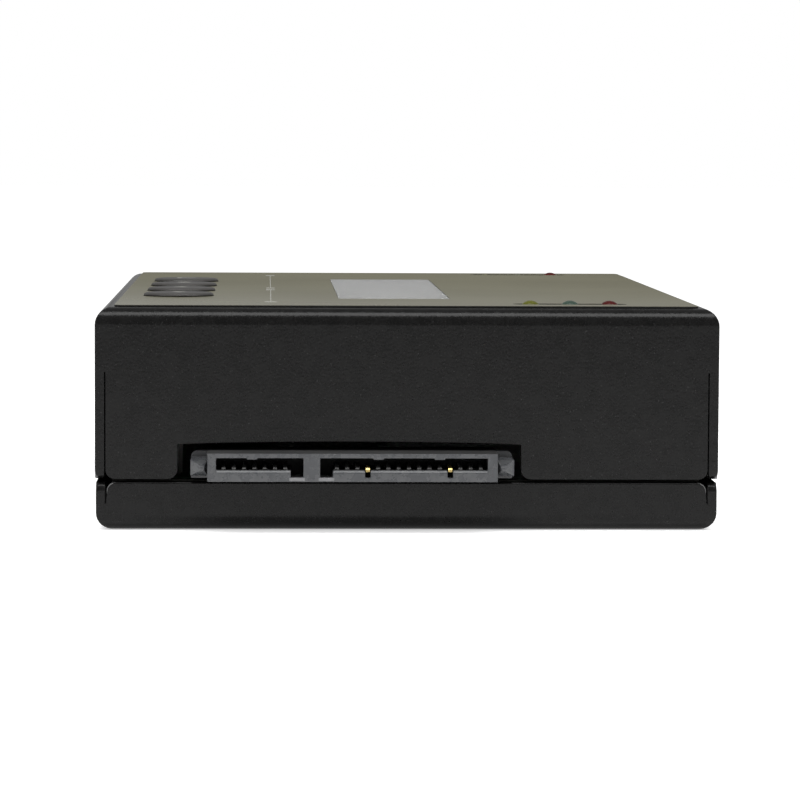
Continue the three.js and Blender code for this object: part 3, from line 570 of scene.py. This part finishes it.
painted_corner_glint = make_look("painted_corner_glint", {"Metallic": 0.6}, corner_glint_tone)
tray = pan("tray_shell", tray_low, tray_high, tray_high.z, tray_low.z, tray_bend, tray_slit, tray_corner)
bosses, recesses, holes = [], [], []
for place in screw_places:
    foot = sheet / 2
    boss = [(0, foot), (boss_foot, foot), (boss_foot, sheet), (boss_top, board_low), (0, board_low)]
    seat = board_low - sheet
    recess = [(0, -overrun), (recess_foot, -overrun), (recess_foot, 0), (recess_top, seat), (0, seat)]
    bosses.append(turned(boss, place.x, place.y, boss_steps))
    recesses.append(turned(recess, place.x, place.y, boss_steps))
    span = 2 * boss_hole
    holes.append(oval_block(place.x, place.y, span, span, sheet, board_low + overrun, hole_steps))
carve(tray, bosses, "UNION")
carve(tray, recesses + holes)
round_edges(tray, at_free_side, tray_roll, roll_steps)
soften(tray, edge_round)
shade_seam_faces(tray, tray_high.z)
# Faces on the rounded corners of the end flaps get the painted highlight.
glint_start = Vector((tray_flap - tray_corner, tray_high.y - tray_roll, tray_high.z - tray_corner))
for face in tray.data.polygons:
    spot, facing = face.center, face.normal
    on_corner = glint_start.x < abs(spot.x) < tray_flap and spot.z > glint_start.z
    rounded_over = glint_facing[0] < abs(facing.y) < glint_facing[1] and abs(facing.x) > glint_sideways
    if on_corner and abs(spot.y) > glint_start.y and rounded_over:
        face.material_index = 2
mount(tray, "case", "painted_case", [powder_coat, seam_shade_look, painted_corner_glint], "bottom_tray")

# The label: a 0.2 mm printed film with a satin, finely textured face, cut round the window, the buttons
# and the lamps, and stuck to the cover. Its fine white rules are printed on it, and its sheen is duller
# towards the far end and the right side.
label_corner = 1 * mm
label_corner_steps = 8
film_edge = 0.05 * mm
film_gap = 0.2 * mm
lamp_slot = Vector((14.4, 2.6, 0)) * mm
ink_thickness = 0.012 * mm
dull_along, dull_across, dull_middle = 3.8, 1.8, 0.44
label_low, label_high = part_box("face_label")


def uprights(bm):
    return [edge for edge in bm.edges if not near(edge.verts[0].co.z, edge.verts[1].co.z)]


def axis(tree, place, name):
    return node(tree, "SeparateXYZ", {}, {0: place}, name)


def satin(tree, place):
    grain = noise(tree, place, 5200, 2)
    clouds = ramp(tree, noise(tree, place, 35, 2), 0.3, 0.7)
    along = axis(tree, place, "Y")
    sideways = axis(tree, place, "X")
    return {
        "Base Color": blend(tree, clouds, (0.108, 0.102, 0.064, 1), (0.122, 0.116, 0.074, 1)),
        "Roughness": grain * 0.08 + along * dull_along + sideways * dull_across + dull_middle,
        "Normal": relief(tree, grain, 0.004 * mm),
    }


def printed(tree, place):
    grain = noise(tree, place, 4200, 2)
    return {
        "Base Color": blend(tree, grain, (0.24, 0.24, 0.21, 1), (0.30, 0.30, 0.27, 1)),
        "Roughness": grain * 0.1 + 0.4,
    }


# Near black: painted shade along the film's cut edges and round its holes.
def film_edge_shade_tone(tree, place):
    grain = noise(tree, place, 3000, 2)
    return {
        "Base Color": blend(tree, grain, grey(0.014, 0.05), grey(0.022, 0.05)),
        "Roughness": grain * 0.1 + 0.5,
    }


film_satin = make_look("film_satin", {"Specular IOR Level": 0.35}, satin)
film_edge_shade = make_look("film_edge_shade", {"Specular IOR Level": 0.2}, film_edge_shade_tone)
white_ink = make_look("white_ink", {"Specular IOR Level": 0.35}, printed)

bm = block(label_low, label_high)
bevel(bm, uprights(bm), label_corner, label_corner_steps)
label = part("label_film", bm)
film_cuts = []
film_low, film_high = label_low.z - overrun, label_high.z + overrun
for place in button_places:
    size = button_size + 2 * Vector((film_gap, film_gap, 0))
    film_cuts.append(oval_block(place.x, place.y, size.x, size.y, film_low, film_high))
for middle in (lamp_places[1], lamp_places[4]):
    corners = (middle - lamp_slot / 2, middle + lamp_slot / 2)
    corners[0].z = film_low
    corners[1].z = film_high
    bm = block(*corners)
    bevel(bm, uprights(bm), lamp_slot.y / 2 - film_edge, label_corner_steps)
    film_cuts.append(bm)
pane_cut = (pane_low + pane_rim, pane_high - pane_rim)
pane_cut[0].z = film_low
pane_cut[1].z = film_high
film_cuts.append(block(*pane_cut))
carve(label, film_cuts)
soften(label, film_edge)
# The film's cut edges, which face sideways, get the painted shade.
for face in label.data.polygons:
    face.material_index = 1 if face.normal.z < 0.6 else 0
mount(label, "case", "printed_film", [film_satin, film_edge_shade], "face_label")


def inked(name, body, marks, top):
    """Thin printed shapes that lie on a face. Each mark comes flat, at height 0."""
    bm = bmesh.new()
    for mark in marks:
        mesh = bpy.data.meshes.new("mark")
        mark.to_mesh(mesh)
        mark.free()
        bm.from_mesh(mesh)
        bpy.data.meshes.remove(mesh)
    thicken(bm, ink_thickness)
    bmesh.ops.translate(bm, vec=(0, 0, top), verts=bm.verts)
    return mount(part(name, bm), body, "printed_film", white_ink)


def bar(x, y, width, length):
    bm = bmesh.new()
    bmesh.ops.create_grid(bm, x_segments=1, y_segments=1, size=0.5)
    bmesh.ops.scale(bm, vec=(width, length, 1), verts=bm.verts)
    bmesh.ops.translate(bm, vec=(x, y, 0), verts=bm.verts)
    return bm


rule_x = -17 * mm
rule_width = 0.12 * mm
tick_length = 2.4 * mm
lines = ((-27.3, 34.1), (19.7, 42.9))
ticks = ((-45.6, 1.5), (-9, 1.2), (-3, 1.2), (42.4, 1.3))
rules = [bar(rule_x, y * mm, rule_width, length * mm) for y, length in lines]
rules += [bar(rule_x, y * mm, width * mm, tick_length) for y, width in ticks]
inked("label_rules", "case", rules, label_high.z)

# The window: a clear acrylic pane in the cover's opening, flush with the label, bonded by its rim under the
# cover. Behind it is a character display: a cell with its light guide in a pressed black frame, on a board.
pane_edge = 0.12 * mm


def clear(tree, place):
    haze = noise(tree, place, 400, 2)
    return {"Roughness": haze * 0.06 + 0.12}


clear_sockets = {"Base Color": (0.93, 0.94, 0.92, 1), "Transmission Weight": 0.85, "IOR": 1.49}
pane_look = make_look("clear_acrylic", clear_sockets, clear)
cover_under = cover_high.z - sheet
pane = part("window_pane", block(pane_low, (pane_high.x, pane_high.y, cover_under)))
plug_low = pane_low + pane_rim
plug_low.z = (pane_low.z + cover_under) / 2
carve(pane, [block(plug_low, pane_high - pane_rim)], "UNION")
soften(pane, pane_edge, 3)
mount(pane, "case", "clear_window", pane_look, "display_window")

cell_pitch = Vector((5.95, 3.55, 0)) * mm
cell_share = Vector((4.9 / 5.95, 2.95 / 3.55, 0))
cells_along = 16
dot_pitch = Vector((0.6, 0.59, 0)) * mm
dot_share = 0.88
glass_low, glass_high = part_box("display_glass")
glass_middle = (glass_low + glass_high) / 2


def characters(tree, place):
    """Two rows of sixteen faint character cells, each of five by eight dots."""
    x = axis(tree, place, "X") - glass_middle.x
    y = axis(tree, place, "Y") - glass_middle.y
    rows = (abs(x) < cell_pitch.x) * (abs(y) < cells_along / 2 * cell_pitch.y)
    across_cell = abs(x.repeat(cell_pitch.x)) < cell_share.x / 2
    along_cell = abs(y.repeat(cell_pitch.y)) < cell_share.y / 2
    dots = (abs(x.repeat(dot_pitch.x)) < dot_share / 2) * (abs(y.repeat(dot_pitch.y)) < dot_share / 2)
    share = rows * across_cell * along_cell * dots
    clouds = noise(tree, place, 60, 1)
    ground = blend(tree, clouds, (0.25, 0.25, 0.235, 1), (0.28, 0.28, 0.263, 1))
    return {
        "Base Color": blend(tree, share * 0.35, ground, (0.10, 0.12, 0.12, 1)),
        "Roughness": clouds * 0.1 + 0.12,
    }


def dress(look, *names):
    """Gives solids that stay as they are a better finish."""
    for name in names:
        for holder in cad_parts[name].material_slots:
            holder.material = look


cell_look = make_look("display_cell", {"Coat Weight": 0.6, "Coat Roughness": 0.05}, characters)
dress(cell_look, "display_glass")


def moulding(name, dark, light, roughness, grain_scale=1800, depth=0.006, specular=0.5):
    """A moulded plastic with a fine grain."""

    def pattern(tree, place):
        grain = noise(tree, place, grain_scale, 2)
        clouds = noise(tree, place, 120, 2)
        return {
            "Base Color": blend(tree, ramp(tree, clouds * 0.6 + grain * 0.4, 0.35, 0.65), dark, light),
            "Roughness": grain * 0.14 + clouds * 0.08 + roughness - 0.11,
            "Normal": relief(tree, grain, depth * mm),
        }

    return make_look(name, {"Specular IOR Level": specular}, pattern)


white_plastic = moulding("white_moulding", grey(0.64, 0.03), grey(0.76, 0.03), 0.45)
black_plastic = moulding("black_moulding", grey(0.014), grey(0.022), 0.42)
blackened_steel = moulding("blackened_steel", grey(0.016), grey(0.030), 0.38, 900, 0.003)
dress(white_plastic, "display_backlight")
dress(blackened_steel, "display_bezel")
dress(black_plastic, "display_header", "display_spacer")

# The push buttons: four round caps of dark satin plastic in a row, each held under the cover by its flange
# and pressed on the stem of a small switch. Each has one plain printed symbol.
cap_grow = 0.15 * mm
cap_waist = 0.1 * mm
cap_round = Vector((0.5, 0.34)) * mm
cap_crown = 0.05 * mm
cap_edge = 0.06 * mm
cap_depth = 3.2 * mm
under_gap = 0.3 * mm
hub_radius = 2.7 * mm
hub_lap = 0.2 * mm
symbol_sink = 0.004 * mm
arrow_radius, dot_radius = 1.15 * mm, 0.95 * mm
stroke, stem_length, head_length = 0.6 * mm, 2 * mm, 2.2 * mm
cap_steps, hub_steps, dot_steps = 72, 24, 24
rounding_steps = 6
button_look = moulding("button_satin", grey(0.030, 0.06), grey(0.040, 0.06), 0.42, 2600, 0.005, 0.4)


def ngon(x, y, radius, sides, turn=0.0):
    bm = bmesh.new()
    bmesh.ops.create_circle(bm, cap_ends=True, radius=radius, segments=sides)
    bmesh.ops.rotate(bm, cent=(0, 0, 0), matrix=Matrix.Rotation(turn, 3, "Z"), verts=bm.verts)
    bmesh.ops.translate(bm, vec=(x, y, 0), verts=bm.verts)
    return bm


def button_symbols(i, x, y):
    """Up, down, set and back, as plain arrows, a dot and a bar."""
    if i == 0:
        return [ngon(x, y, arrow_radius, 3, pi)]
    if i == 1:
        return [ngon(x, y, arrow_radius, 3)]
    if i == 2:
        return [ngon(x, y, dot_radius, dot_steps)]
    return [
        bar(x + stroke / 2, y, stem_length, stroke),
        bar(x - stem_length / 2, y, stroke, head_length),
    ]


for i, (name, place) in enumerate(zip(button_names, button_places)):
    low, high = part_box(name)
    flange_low, flange_high = high.z - cap_depth, cover_under - under_gap
    half = button_size.x / 2 + cap_grow
    cap_top = high.z - ink_thickness
    shoulder = cap_top - cap_crown - cap_round.y
    angles = [pi / 2 * step / rounding_steps for step in range(rounding_steps, -1, -1)]
    rounding = [(half - cap_round.x * (1 - sin(a)), shoulder + cap_round.y * cos(a)) for a in angles]
    crown = [(half * share, cap_top - cap_crown * share * share) for share in (0.66, 0.33, 0)]
    flange = half - cap_grow + button_flange
    waist = half - cap_waist
    profile = [(0, flange_low), (flange, flange_low), (flange, flange_high), (waist, flange_high)]
    profile += [(waist, label_high.z), *rounding, *crown]
    bm = turned(profile, 0, 0, cap_steps)
    bmesh.ops.scale(bm, vec=(1, button_size.y / button_size.x, 1), verts=bm.verts)
    bmesh.ops.translate(bm, vec=(place.x, place.y, 0), verts=bm.verts)
    cap = part(f"button_pad_{i + 1}", bm)
    hub_top = flange_low + hub_lap
    hub = [(0, low.z), (hub_radius, low.z), (hub_radius, hub_top), (0, hub_top)]
    carve(cap, [turned(hub, place.x, place.y, hub_steps)], "UNION")
    soften(cap, cap_edge, 2, 50)
    body = f"button_{i + 1}"
    mount(cap, body, "button_plastic", button_look, name)
    inked(f"button_mark_{i + 1}", body, button_symbols(i, place.x, place.y), cap_top - symbol_sink)
    dress(black_plastic, f"button_stem_{i + 1}", f"tact_switch_{i + 1}")

# The lamps: six small indicator lamps in two rows of three, yellow-green, blue-green and red, with domed
# lenses moulded in tinted resin. Each row stands in a white holder on the control board.
lens_steps = 28
lens_sunk = (0, 0, 0, 0.42, 0.42, 0.1)
lens_radius, lens_rise = 1.2 * mm, 0.9 * mm
dome_steps = 8
collar_radius, collar_height = 1.9 * mm, 1 * mm
lead_half, lead_offset, lead_lap = 0.2 * mm, 0.6 * mm, 0.3 * mm


def lens(name, colour):
    def pattern(tree, place):
        clouds = noise(tree, place, 900, 1)
        deep = tuple(0.7 * channel for channel in colour[:3]) + (1,)
        return {"Base Color": blend(tree, clouds, deep, colour), "Roughness": clouds * 0.06 + 0.24}

    return make_look(name, {"Transmission Weight": 0.1, "Specular IOR Level": 0.15}, pattern)


lens_looks = [
    ("lamp_yellow", lens("yellow_lens", (0.095, 0.099, 0.010, 1))),
    ("lamp_teal", lens("blue_green_lens", (0.040, 0.067, 0.051, 1))),
    ("lamp_red", lens("red_lens", (0.062, 0.002, 0.001, 1))),
]
for n, (name, place) in enumerate(zip(lamp_names, lamp_places)):
    low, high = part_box(name)
    crest = high.z - lens_sunk[n] * mm
    collar_high = cover_under - under_gap
    collar_low = collar_high - collar_height
    profile = [(0, collar_low), (collar_radius, collar_low), (collar_radius, collar_high)]
    profile.append((lens_radius, collar_high))
    for step in range(dome_steps):
        angle = step / dome_steps * pi / 2
        profile.append((lens_radius * cos(angle), crest - lens_rise + lens_rise * sin(angle)))
    profile.append((0, crest))
    lamp = part(f"lens_{name[5:]}", turned(profile, place.x, place.y, lens_steps))
    leads = [
        block(
            (place.x + x - lead_half, place.y - lead_half, low.z),
            (place.x + x + lead_half, place.y + lead_half, collar_low + lead_lap),
        )
        for x in (-lead_offset, lead_offset)
    ]
    carve(lamp, leads, "UNION")
    soften(lamp, 0)
    slot, look = lens_looks[n % 3]
    mount(lamp, "case", slot, look, name)
dress(white_plastic, "lamp_holder_near", "lamp_holder_far")

# The boards: glass laminate under green solder mask, with copper tracks that show through it. Round the main
# board's border
# the colour is near black: painted shade where light comes in through the seams. The main board lies on the
# tray's bosses; the control board stands above it and carries the display.
track_pitch = 1.27 * mm
track_half = 0.14
board_middle = sum(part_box("main_board"), Vector()) / 2
board_margin = Vector((1.6, 1.6, 0)) * mm
board_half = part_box("main_board")[1] - board_middle - board_margin


def laminate(tree, place):
    x = axis(tree, place, "X")
    y = axis(tree, place, "Y")
    outside = (abs(x - board_middle.x) > board_half.x) + (abs(y - board_middle.y) > board_half.y)
    # Painted shade: the main board's border is near black.
    painted_margin_shade = ramp(tree, outside, 0.4, 0.6)
    field = noise(tree, place, 110, 0)
    along_x = (abs(y.repeat(track_pitch)) < track_half) * (field > 0.52)
    along_y = (abs(x.repeat(track_pitch)) < track_half) * (field < 0.46)
    tracks = along_x + along_y - along_x * along_y
    weave = noise(tree, place, 2200, 1)
    ground = blend(tree, weave, (0.010, 0.060, 0.026, 1), (0.014, 0.078, 0.034, 1))
    masked = blend(tree, tracks, ground, (0.030, 0.150, 0.055, 1))
    return {
        "Base Color": blend(tree, painted_margin_shade, masked, (0.010, 0.009, 0.006, 1)),
        "Roughness": weave * 0.1 + painted_margin_shade * 0.4 + 0.32,
        "Normal": relief(tree, tracks, 0.03 * mm),
    }


board_look = make_look("solder_mask", {"Specular IOR Level": 0.5}, laminate)
dress(board_look, "main_board", "control_board", "display_board")

# What stands on the main board: two moulded chips on flat legs, a wound inductor with ferrite flanges,
# a can capacitor with a rolled neck, and a pin header up to the control board.


def plate(name, colour, roughness, scale=900):
    """An unplated or plated metal with a fine drawn texture."""

    def pattern(tree, place):
        streak = noise(tree, place, scale, 2)
        tone = tuple(0.82 * channel for channel in colour[:3]) + (1,)
        return {
            "Base Color": blend(tree, streak, tone, colour),
            "Roughness": streak * 0.16 + roughness - 0.08,
            "Normal": relief(tree, streak, 0.002 * mm),
        }

    return make_look(name, {"Metallic": 1.0}, pattern)


nickel = plate("nickel_plate", (0.62, 0.61, 0.59, 1), 0.30)
dress(black_plastic, "processor_chip", "memory_chip", "power_inductor", "board_header")
dress(nickel, "supply_capacitor")

# The receptacles: keyed 22-way drive receptacles, soldered to the main board at both ends. A housing is one
# moulding in grey glass-filled plastic with a guide post at each side of its mouth, and the contacts are
# stamped spring strips. Two contacts of each are longer, gold plated and turn down in a groove at the mouth.
mould_edge = 0.1 * mm
strip_edge = 0.03 * mm
mouth_reach = 4.5 * mm
slot_start = 0.3 * mm
contact_start, contact_end = 0.45 * mm, 5.2 * mm
contact_band = (1.45 * mm, 2.12 * mm)
contact_area = 4e-6
slot_end = 5.7 * mm
tail_start = 10.45 * mm
roof_skin = 0.55 * mm
ear_width = 2.3 * mm
lip_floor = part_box("near_receptacle")[0].z + 0.33 * mm
lip_middle, lip_apart, lip_half, lip_band = 11.945 * mm, 1.81 * mm, 0.95 * mm, 0.19 * mm


def glass_filled(tree, place):
    """Grey with fine fibre marks. Behind the case's front face it is near black, painted shade, and on the
    two lips under the deep slots it is pale, a painted highlight.
    """
    grain = noise(tree, place, 1500, 2)
    fibre = ramp(tree, noise(tree, place, 700, 3, 0.6), 0.42, 0.62)
    # Painted shade: near black behind the case's front face.
    outside = ramp(tree, abs(axis(tree, place, "Y")), cover_high.y - 0.4 * mm, cover_high.y - 0.1 * mm)
    pale = blend(tree, fibre, (0.046, 0.048, 0.052, 1), (0.066, 0.068, 0.071, 1))
    turned_x = axis(tree, place, "X") * (1 - 2 * (axis(tree, place, "Y") > 0))
    height = axis(tree, place, "Z") - lip_floor
    # Painted highlight: the two lips are pale.
    lips = (abs(abs(turned_x + lip_middle) - lip_apart) < lip_half) * (abs(height) < lip_band)
    pale = blend(tree, lips, pale, (0.17, 0.17, 0.175, 1))
    return {
        "Base Color": blend(tree, outside, (0.020, 0.021, 0.023, 1), pale),
        "Roughness": grain * 0.12 + fibre * 0.06 + 0.19,
        "Normal": relief(tree, grain, 0.006 * mm),
    }


grey_plastic = make_look("grey_moulding", {"Specular IOR Level": 0.5}, glass_filled)
# A darker grey for the flat top of each housing's roof: painted shade.
roof_shade_look = moulding("roof_skin", grey(0.024), grey(0.034), 0.6, 1500, 0.008, 0.2)
# Near black for the faces deep in the slots: painted shade.
slot_shade_look = moulding("painted_slot_shade", grey(0.006), grey(0.010), 0.6, 1500, 0.008, 0.2)
# A dark grey plate for the ordinary contacts, darkened as painted shade for the slots they stand in.
shaded_contact_metal = plate("contact_plate", (0.16, 0.16, 0.158, 1), 0.42)
gold_plate = plate("gold_plate", (1.0, 0.76, 0.30, 1), 0.25)


def fine_copy(node_name, name, width, steps=2):
    """A solid's own shape with its seams merged and its edges rounded."""
    bm = bmesh.new()
    bm.from_mesh(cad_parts[node_name].data)
    bmesh.ops.remove_doubles(bm, verts=bm.verts, dist=0.002 * mm)
    bmesh.ops.dissolve_limit(bm, angle_limit=radians(1), verts=bm.verts, edges=bm.edges)
    piece = part(name, bm)
    soften(piece, width, steps)
    return piece


for end, side in (("near", -1), ("far", 1)):
    low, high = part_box(f"{end}_receptacle")
    mouth = side * (cover_high.y + mouth_reach)
    housing = fine_copy(f"{end}_receptacle", f"{end}_housing", mould_edge)
    for face in housing.data.polygons:
        middle = face.center
        depth = side * (mouth - middle.y)
        skin = min(middle.z - low.z, high.z - middle.z) < roof_skin or depth > slot_end
        skin = skin or min(middle.x - low.x, high.x - middle.x) < ear_width
        raised = contact_band[0] < middle.z - low.z < contact_band[1] and face.area < contact_area
        if depth > tail_start or (contact_start < depth < contact_end and raised and not skin):
            face.material_index = 1
        # Faces deep in the slots get the painted shade.
        elif depth > slot_start and not skin:
            face.material_index = 2
        # The roof's flat top gets the painted shade.
        elif face.normal.z > 0.9 and high.z - middle.z < roof_skin:
            face.material_index = 3
        else:
            face.material_index = 0
    finishes = [grey_plastic, shaded_contact_metal, slot_shade_look, roof_shade_look]
    mount(housing, "case", "grey_plastic", finishes, f"{end}_receptacle")
    for i in (1, 2):
        strip = fine_copy(f"{end}_gold_contact_{i}", f"{end}_spring_{i}", strip_edge)
        mount(strip, "case", "gold_contact", gold_plate, f"{end}_gold_contact_{i}")

# The low-voltage inlet: a moulded block soldered to the main board, whose face fills a notch in the right
# flap, with a nickel plated centre pin.
inlet_edge, pin_edge = 0.15 * mm, 0.2 * mm
inlet = fine_copy("dc_jack", "inlet_block", inlet_edge)
mount(inlet, "case", "black_plastic", black_plastic, "dc_jack")
pin = fine_copy("dc_jack_pin", "inlet_pin", pin_edge, 3)
mount(pin, "case", "bright_metal", nickel, "dc_jack_pin")

# The power rocker: snapped into the right flap, with a gloss black rocker in a frame with a flange.
# The rocker turns on two trunnions in the frame's walls, and a twin lead joins its terminals to the board.
frame_edge, rocker_edge = 0.18 * mm, 0.2 * mm
gloss_black = moulding("gloss_black", grey(0.010), grey(0.014), 0.2, 1200, 0.001)
bezel = fine_copy("switch_frame", "rocker_frame", frame_edge, 3)
mount(bezel, "case", "black_plastic", black_plastic, "switch_frame")
rocker = fine_copy("switch_rocker", "rocker_paddle", rocker_edge, 3)
mount(rocker, "rocker", "black_plastic", gloss_black, "switch_rocker")
dress(black_plastic, "switch_lead")

# The fasteners: at each corner a pan-head screw comes up through the tray's boss and the main board into a
# hex spacer, whose stud passes the control board into the hex standoff under the cover.
black_zinc = plate("black_zinc", (0.10, 0.10, 0.105, 1), 0.38, 1400)
head_radius, head_height, shank = 2.75 * mm, 1.8 * mm, 1.25 * mm
dome_height, tip, screw_edge = 0.9 * mm, 0.3 * mm, 0.06 * mm
dome_angles = (0.0, 0.25, 0.5, 0.75, 1.0, 1.25, pi / 2)
cross_width, cross_length, cross_depth, cross_taper = 0.75 * mm, 3.1 * mm, 1.1 * mm, 0.7
screw_steps = 36
for i, (name, place) in enumerate(zip(screw_names, screw_places)):
    low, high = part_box(name)
    seat = low.z + head_height
    profile = [(head_radius * sin(a), low.z + dome_height * (1 - cos(a))) for a in dome_angles]
    profile += [(head_radius, seat), (shank, seat), (shank, high.z - tip), (shank - tip, high.z), (0, high.z)]
    screw = part(f"screw_{i + 1}", turned(profile, place.x, place.y, screw_steps))
    cross = []
    for width, length in ((cross_width, cross_length), (cross_length, cross_width)):
        bm = block(
            (place.x - width / 2, place.y - length / 2, low.z - overrun),
            (place.x + width / 2, place.y + length / 2, low.z + cross_depth),
        )
        for vert in bm.verts:
            if vert.co.z > low.z:
                vert.co.x = place.x + (vert.co.x - place.x) * cross_taper
                vert.co.y = place.y + (vert.co.y - place.y) * cross_taper
        cross.append(bm)
    carve(screw, cross)
    soften(screw, screw_edge)
    mount(screw, "case", "screw_steel", black_zinc, name)
dress(nickel, *[f"cover_standoff_{i}" for i in range(1, 5)], *[f"board_spacer_{i}" for i in range(1, 5)])
